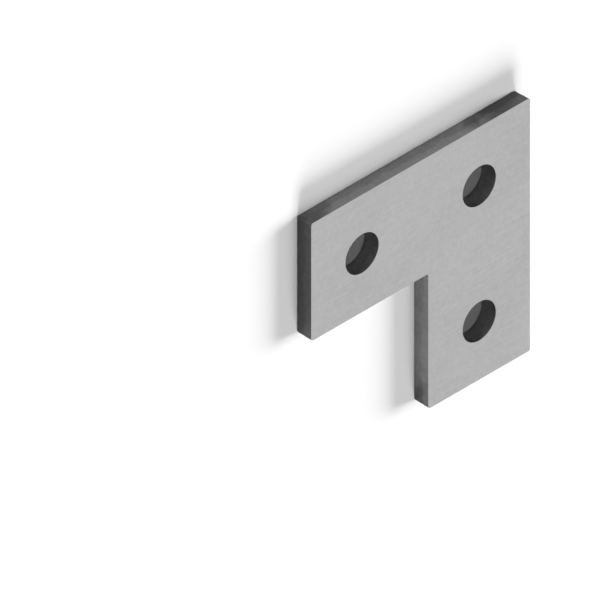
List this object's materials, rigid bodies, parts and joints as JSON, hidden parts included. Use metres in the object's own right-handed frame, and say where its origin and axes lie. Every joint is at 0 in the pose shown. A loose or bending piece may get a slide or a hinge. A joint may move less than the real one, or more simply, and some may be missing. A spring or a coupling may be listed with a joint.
{
  "type": "angle plate",
  "caption": "Flat L-shaped steel plate with a bolt hole at its corner and one near the end of each arm, for joining framing members at a right angle.",
  "frame": {"origin": "centre of the corner hole, in the plane of the back face", "axes": "+Z out of the front face, +X along one arm and +Y along the other"},
  "size_m": [0.0888, 0.0888, 0.006],
  "materials": {
    "galvanised_steel": "zinc-coated, satin"
  },
  "bodies": {
    "root": {"angle_plate": "galvanised_steel"}
  },
  "joints": []
}
